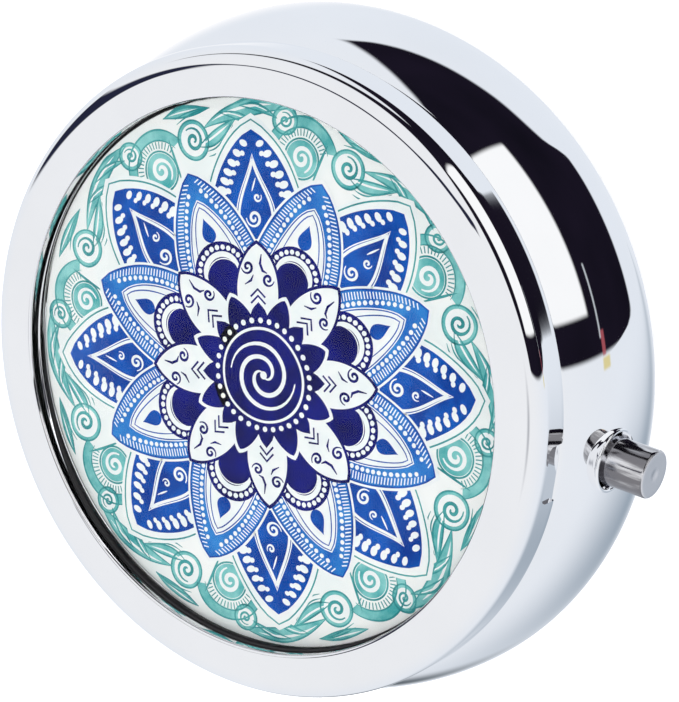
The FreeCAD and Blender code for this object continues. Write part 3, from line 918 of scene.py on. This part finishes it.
def draw_leaf_pen(pen):
    """Navy curls, hooks and chevrons on the white leaves."""
    for k in range(PETALS):
        axis = FIRST_PETAL + TURN * k
        pen.stroke(spiral(along(axis, 0.392, 0.040), 0.027, axis + 100, 1.4, 26), 0.010)
        pen.stroke(spiral(along(axis, 0.350, -0.044), 0.026, axis - 100, -1.4, 26), 0.010)
        hook = ((0.440, -0.018), (0.405, -0.012), (0.380, -0.022), (0.372, -0.040))
        pen.stroke([along(axis, *spot) for spot in hook], 0.010)
        barb = ((0.330, 0.052), (0.345, 0.026), (0.365, 0.016))
        pen.stroke([along(axis, *spot) for spot in barb], 0.009)
        for reach, span in ((0.315, 0.030), (0.290, 0.030), (0.262, 0.026)):
            pen.stroke([along(axis, reach - 0.030, -span), along(axis, reach, 0),
                        along(axis, reach - 0.030, span)], 0.009, 0.8)


def draw_rosette(navy, white):
    """Navy rosette of pointed leaves round the core, with a white edge and dots."""
    for k in range(PETALS):
        axis = FIRST_PETAL + TURN * (k + 0.5)
        white.fill(petal(axis, 0.15, 0.318, 0.062))
        navy.fill(petal(axis, 0.15, 0.302, 0.053))
        for reach in (0.236, 0.262):
            white.dot(along(axis, reach, 0), 0.0075, points=10)
    for k in range(PETALS):
        axis = FIRST_PETAL + TURN * k
        navy.fill(petal(axis, 0.16, 0.262, 0.040))
    navy.dot((0, 0), 0.222, points=64)


def draw_core(white, deep):
    """Navy core with a white ring and a collar of dots."""
    for step in range(34):
        white.dot(polar(0.199, step * 360 / 34), 0.0105, points=10)
    white.dot((0, 0), 0.176, points=64)
    deep.dot((0, 0), 0.166, points=64)


def draw_core_arms(white):
    """Two white arms that wind out from the centre."""
    for turn in (0, 180):
        arm = [polar(0.010 + 0.128 * s ** 0.8, turn + 40 + 360 * 1.15 * s) for s in
               (step / 36 for step in range(37))]
        white.stroke(arm, 0.0165, 0.3)
    white.dot((0, 0), 0.015)


def make_print(paper):
    """The paper disc and its inks, each ink one piece, stacked under the dome."""
    top, inset = ART_Z - PRINT_DROP, ART_R - PAPER_CHAMFER
    section = [(0, ART_LOW.z), (inset, ART_LOW.z), (ART_R, ART_LOW.z + PAPER_CHAMFER)]
    section += [(ART_R, top - PAPER_EDGE), (inset, top)]
    section += line((inset, top), (0, top), 4)
    disc = lathe("print_paper", section, 192)
    sharpen(disc)
    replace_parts(new_object("print_paper", disc, "lid", paper), "art_disc")

    white = ink("ink_white", srgb(250, 253, 250), srgb(238, 246, 246))
    teal = ink("ink_teal", srgb(150, 218, 214), srgb(52, 164, 166))
    teal_line = ink("ink_teal_line", srgb(84, 176, 174), srgb(34, 132, 136))
    royal = ink("ink_royal", srgb(14, 92, 190), srgb(0, 50, 142))
    sky = ink("ink_sky", srgb(52, 138, 214), srgb(8, 84, 182))
    navy = ink("ink_navy", srgb(14, 22, 126), srgb(0, 0, 72))
    finishes = {
        "teal_wash": teal, "teal_gap": white, "teal_pen": teal_line, "outer_halo": white,
        "outer_pen": teal_line, "royal": royal, "royal_gap": white, "sky_gap": white, "sky": sky,
        "sky_pen_white": white, "sky_pen": royal, "arch": navy, "arch_dots": white, "leaf_edge": navy,
        "leaf_white": white, "leaf_pen": navy, "rosette_white": white,
    }
    sheets = {name: Sheet(level + 1) for level, name in enumerate(finishes)}
    rosette, core_white, core_deep, arms = (Sheet(len(finishes) + 1 + step) for step in range(4))
    draw_scrolls(sheets["teal_wash"], sheets["teal_pen"], sheets["teal_gap"])
    draw_outer_petals(sheets["outer_halo"], sheets["royal"], sheets["outer_pen"], sheets["royal_gap"])
    draw_petal_hearts(sheets["royal_gap"], sheets["sky_gap"])
    draw_middle_petals(sheets["sky"], sheets["sky_gap"], sheets["sky_pen_white"], sheets["sky_pen"])
    draw_arches(sheets["arch"], sheets["arch_dots"])
    draw_inner_leaves(sheets["leaf_white"], sheets["leaf_edge"])
    draw_leaf_pen(sheets["leaf_pen"])
    draw_rosette(rosette, sheets["rosette_white"])
    draw_core(core_white, core_deep)
    draw_core_arms(arms)
    for name, sheet in sheets.items():
        sheet.finish("print_" + name, finishes[name])
    rosette.finish("print_rosette", navy)
    core_white.finish("print_core_white", white)
    core_deep.finish("print_core_deep", navy)
    arms.finish("print_core_arms", white)


# ---- finishes of the nodes that keep their CAD shape
def paint(node, material):
    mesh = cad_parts[node].data
    mesh.materials.clear()
    mesh.materials.append(material)


def finish_pieces():
    """Every finish, put on the CAD nodes that stay and on the pieces drawn here."""
    across, turned = (1, 1, 6), (0.2, 1, 1)
    chrome = metal("chrome_shell", (0.90, 0.91, 0.93), (0.97, 0.98, 1.0), (0.012, 0.035), 1500, across)
    bright = metal("bright_frame", (0.80, 0.81, 0.83), (0.92, 0.93, 0.95), (0.08, 0.16), 1200,
                   (1, 1, 12))
    hinge = metal("bright_hinge", (0.72, 0.73, 0.75), (0.90, 0.91, 0.92), (0.12, 0.22), 2200, turned)
    pin = metal("hinge_pin_steel", (0.60, 0.61, 0.63), (0.80, 0.81, 0.82), (0.16, 0.26), 3000, turned)
    latch = metal("latch_steel", (0.58, 0.58, 0.60), (0.78, 0.78, 0.80), (0.22, 0.36), 2600,
                  (1, 1, 0.15))
    rivet = metal("rivet_metal", (0.66, 0.66, 0.66), (0.84, 0.84, 0.83), (0.20, 0.32), 2400)
    spring = metal("spring_steel", (0.50, 0.50, 0.52), (0.72, 0.72, 0.74), (0.20, 0.30), 3600,
                   (1, 0.2, 1))
    # The button barrel's dark streaks are painted reflections.
    button = reflection_streaked_metal("chrome_button", (0.22, 0.215, 0.23), (0.88, 0.88, 0.90), (0.06, 0.18),
                            (1, 0.1, 1))
    face = metal("button_face_satin", (0.66, 0.66, 0.69), (0.84, 0.84, 0.86), (0.30, 0.42), 5200,
                 depth=0.000003)
    tray = plastic("tray_plastic", srgb(244, 244, 240), srgb(250, 250, 247), (0.32, 0.5), 2600, 0.00001,
                   Subsurface_Weight=0.12, Subsurface_Radius=(0.001, 0.0008, 0.0006),
                   Subsurface_Scale=0.5)
    # Near-black finish of the ring round the dome, a painted shadow.
    shadow_bead = plastic("painted_shadow_black", srgb(14, 14, 16), srgb(34, 32, 36), (0.25, 0.5), 1800, 0.00001)
    glue = plastic("glue_film", srgb(226, 226, 214), srgb(240, 240, 232), (0.2, 0.4), 900, 0.00001)
    paper = ink("printed_paper", srgb(250, 252, 249), srgb(240, 248, 246), 160)
    for node, material in (
        ("base_frame", bright), ("mirror_frame", bright), ("base_hinge_leaf", hinge),
        ("lid_hinge_leaf", hinge), ("hinge_pin", pin), ("pill_tray", tray), ("latch_bracket", latch),
        ("latch_slide", latch), ("lid_catch", latch), ("bracket_rivets", rivet),
        ("button_clip", spring),
        ("mirror", mirror_silver()), ("mirror_pad", foam()), ("art_glue", glue),
    ):
        paint(node, material)
    make_base(chrome)
    make_lid(chrome)
    make_bush(chrome)
    make_button(button, face)
    make_spring(spring)
    make_dome(clear_glass())
    make_shadow_bead(shadow_bead)
    make_print(paper)


# ---- studio
FLOOR_SIDE = 1.8

# What stands round the box, in degrees of azimuth and of height, seen only in polished metal.
# The dark flag lies between its foot and its top. Past the front it splits into a low blot,
# under BLOT_TOP, and a high wedge, over WEDGE_FOOT.
EDGE_SOFT = 1.2
FLAG_FOOT = [(-180, -20), (-100, -20), (-86, -28), (-83, -42), (-79, -55), (-70, -57), (-45, -57.5),
             (-24, -56), (-18, -47), (0, -41), (18, -35), (28, -30), (35, -25), (60, -20), (180, -20)]
FLAG_TOP = [(-180, 30), (-93, 30), (-80, 38), (-50, 46), (-25, 40), (-10, 26), (10, 18), (34, 14),
            (66, 10), (80, 9), (180, 9)]
BLOT_TOP = [(-180, 60), (-24, 60), (-12, 8), (0, -6), (8, -11), (18, -17), (27, -22), (34, -25),
            (60, -28), (180, -28)]
WEDGE_FOOT = [(-180, -60), (-24, -50), (-12, -10), (0, 0), (20, 4), (40, 7), (66, 9), (80, 10),
              (180, 10)]
FLAG_START, FLAG_END = (-84.5, -82.5), (68, 60)
BRIGHT_PANEL = (-71.5, -19.5, -22, 27, 1.0)
DARK_ARC = [(-180, 60), (-60, 58), (-30, 66), (0, 74), (30, 74), (60, 66), (78, 56), (92, 44),
            (180, 40)]
ARC_HALF, ARC_START, ARC_END = (5, 3), (-32, -26), (100, 96)
DARK_POST = (80, 98, 2, 50, 2)
# Soft patches: centre, reach, strength and colour. The second list counts azimuth from behind.
FRONT_PATCHES = [((104, -48), (36, 20), 1.0, (1.0, 1.0, 1.02))]
BACK_PATCHES = [((20, -62), (78, 44), 1.0, (0.34, 0.40, 0.47)),
                ((-24, -40), (16, 14), 0.95, (0.08, 0.10, 0.12))]
HIGH_PATCHES = [((-118, 62), (34, 9), 0.6, (0.20, 0.21, 0.25))]
# Thin glints at the flag's low end: edges, strength and colour.
GLINTS = [((-79, -58, -28.4, -27.4, 0.4), 0.7, (0.75, 0.80, 0.85)),
          ((-84, -77, -30.5, -28.2, 0.5), 0.8, (0.45, 0.10, 0.12)),
          ((-88, -84.5, -33, -28, 0.7), 0.8, (0.72, 0.60, 0.18))]

CAMERA_PLACE = (87.74, -129.97, 213.01)
CAMERA_RIGHT = (0.1232, -0.8144, -0.5670)
CAMERA_UP = (0.9323, 0.2908, -0.2152)
CAMERA_BACK = (0.3402, -0.5021, 0.7951)
CAMERA_LENS, CAMERA_SENSOR = 182.96, 36
LIT_POINT = (0, 0, 0.01)


def make_floor():
    """Plain pale sheet that the box lies on, left out of the chrome's reflections."""
    mesh = bpy.data.meshes.new("floor")
    half = FLOOR_SIDE / 2
    corners = [(-half, -half, 0), (half, -half, 0), (half, half, 0), (-half, half, 0)]
    mesh.from_pydata(corners, [], [(0, 1, 2, 3)])
    floor = bpy.data.objects.new("floor", mesh)
    bpy.context.scene.collection.objects.link(floor)
    material, nodes, shader = principled("floor_paper", Roughness=0.8, Emission_Strength=0.5)
    shader.inputs["Emission Color"].default_value = (1, 1, 1, 1)
    grain = nodes.noise(nodes.object_point(), 30, 4)
    nodes.join(nodes.mix(grain, (0.93, 0.93, 0.94), (0.96, 0.96, 0.96)), shader.inputs["Base Color"])
    mesh.materials.append(material)
    floor.visible_glossy = False
    floor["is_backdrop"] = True


def curve(nodes, azimuth, points):
    """Height in degrees as a smooth function of azimuth in degrees."""
    share = nodes.math("DIVIDE", nodes.math("ADD", azimuth, 180), 360)
    node = nodes.add("ShaderNodeFloatCurve")
    line_of = node.mapping.curves[0].points
    wanted = sorted(((x + 180) / 360, (y + 90) / 180) for x, y in points)
    for _ in range(len(wanted) - 2):
        line_of.new(0.5, 0.5)
    for point, (x, y) in zip(line_of, wanted):
        point.location = (x, y)
        point.handle_type = "AUTO_CLAMPED"
    node.mapping.update()
    nodes.join(share, node.inputs["Value"])
    return nodes.math("SUBTRACT", nodes.math("MULTIPLY", node.outputs[0], 180), 90)


def product(nodes, *values):
    total = values[0]
    for value in values[1:]:
        total = nodes.math("MULTIPLY", total, value)
    return total


def window(nodes, azimuth, height, left, right, low, high, soft):
    """1 inside a patch of sky between two azimuths and two heights, with soft edges."""
    return product(
        nodes,
        nodes.step(azimuth, left - soft, left + soft), nodes.step(azimuth, right + soft, right - soft),
        nodes.step(height, low - soft, low + soft), nodes.step(height, high + soft, high - soft))


def blob(nodes, azimuth, height, centre, reach):
    """1 at a direction, fading to 0 at an oval reach of azimuth and height."""
    across = nodes.math("DIVIDE", nodes.math("SUBTRACT", azimuth, centre[0]), reach[0])
    upright = nodes.math("DIVIDE", nodes.math("SUBTRACT", height, centre[1]), reach[1])
    away = nodes.math("SQRT", nodes.math("ADD", nodes.math("MULTIPLY", across, across),
                                         nodes.math("MULTIPLY", upright, upright)))
    return nodes.step(away, 1.0, 0.0)


def make_world():
    """White studio with a dark flag round one bright panel, seen only in the polished metal."""
    world = bpy.data.worlds.new("studio")
    bpy.context.scene.world = world
    world.use_nodes = True
    nodes = Nodes(world.node_tree)
    output = nodes.add("ShaderNodeOutputWorld")
    background = nodes.add("ShaderNodeBackground")
    nodes.join(background.outputs[0], output.inputs["Surface"])
    coordinates = nodes.add("ShaderNodeTexCoord")
    split = nodes.add("ShaderNodeSeparateXYZ")
    nodes.join(coordinates.outputs["Generated"], split.inputs[0])
    x, y, z = split.outputs
    azimuth = nodes.math("DEGREES", nodes.math("ARCTAN2", y, x))
    behind = nodes.math("DEGREES", nodes.math("ARCTAN2", nodes.math("MULTIPLY", y, -1),
                                              nodes.math("MULTIPLY", x, -1)))
    height = nodes.math("DEGREES", nodes.math("ARCSINE", z))

    def over(points):
        """1 above a line of heights and 0 below it."""
        gap = nodes.math("SUBTRACT", height, curve(nodes, azimuth, points))
        return nodes.step(gap, -EDGE_SOFT, EDGE_SOFT)

    def under(points):
        """1 below a line of heights and 0 above it."""
        gap = nodes.math("SUBTRACT", curve(nodes, azimuth, points), height)
        return nodes.step(gap, -EDGE_SOFT, EDGE_SOFT)

    foot = over(FLAG_FOOT)
    blot = product(nodes, foot, under(BLOT_TOP))
    wedge = product(nodes, over(WEDGE_FOOT), foot)
    flag = product(nodes, nodes.math("MAXIMUM", blot, wedge), under(FLAG_TOP),
                   nodes.step(azimuth, *FLAG_START), nodes.step(azimuth, *FLAG_END))
    panel = window(nodes, azimuth, height, *BRIGHT_PANEL)

    colour = nodes.mix(nodes.step(height, -70, 60), (0.80, 0.84, 0.90), (0.88, 0.885, 0.90))
    for turn, patches in ((azimuth, FRONT_PATCHES), (behind, BACK_PATCHES), (azimuth, HIGH_PATCHES)):
        for centre, reach, strength, shade in patches:
            patch = blob(nodes, turn, height, centre, reach)
            colour = nodes.mix(nodes.spread(patch, 0, strength), colour, shade)
    offset = nodes.math("ABSOLUTE", nodes.math("SUBTRACT", height, curve(nodes, azimuth, DARK_ARC)))
    strip = product(nodes, nodes.step(offset, *ARC_HALF), nodes.step(azimuth, *ARC_START),
                    nodes.step(azimuth, *ARC_END))
    post = window(nodes, azimuth, height, *DARK_POST)
    colour = nodes.mix(nodes.math("MAXIMUM", strip, post), colour, (0.018, 0.020, 0.045))
    cloud = nodes.noise(coordinates.outputs["Generated"], 2.4, 2)
    black = nodes.mix(cloud, (0.004, 0.004, 0.007), (0.014, 0.010, 0.022))
    colour = nodes.mix(flag, colour, black)
    colour = nodes.mix(panel, colour, (1.0, 1.0, 1.0))
    for edges, strength, shade in GLINTS:
        glint = window(nodes, azimuth, height, *edges)
        colour = nodes.mix(nodes.spread(glint, 0, strength), colour, shade)
    nodes.join(colour, background.inputs["Color"])


def add_light(name, place, size, power):
    """Soft square light that looks at the box and does not show in its chrome."""
    data = bpy.data.lights.new(name, "AREA")
    data.size = size
    data.energy = power
    light = bpy.data.objects.new(name, data)
    light.location = place
    light.rotation_euler = (Vector(LIT_POINT) - Vector(place)).to_track_quat("-Z", "Y").to_euler()
    light.visible_glossy = False
    bpy.context.scene.collection.objects.link(light)


def make_camera():
    """Looks down on the lid at 53 degrees, rolled so that the hinge is up and to the left."""
    data = bpy.data.cameras.new("camera")
    data.lens = CAMERA_LENS
    data.sensor_width = CAMERA_SENSOR
    camera = bpy.data.objects.new("camera", data)
    turn = Matrix((CAMERA_RIGHT, CAMERA_UP, CAMERA_BACK)).transposed().to_4x4()
    camera.matrix_world = Matrix.Translation(mm(*CAMERA_PLACE)) @ turn
    bpy.context.scene.collection.objects.link(camera)
    bpy.context.scene.camera = camera


finish_pieces()
make_floor()
make_world()
add_light("key", (-0.15, -0.10, 0.45), 0.35, 0.9)
add_light("fill", (0.25, -0.25, 0.35), 0.30, 0.4)
make_camera()
bpy.context.scene.view_settings.view_transform = "Standard"

write_size("scene", sizes)
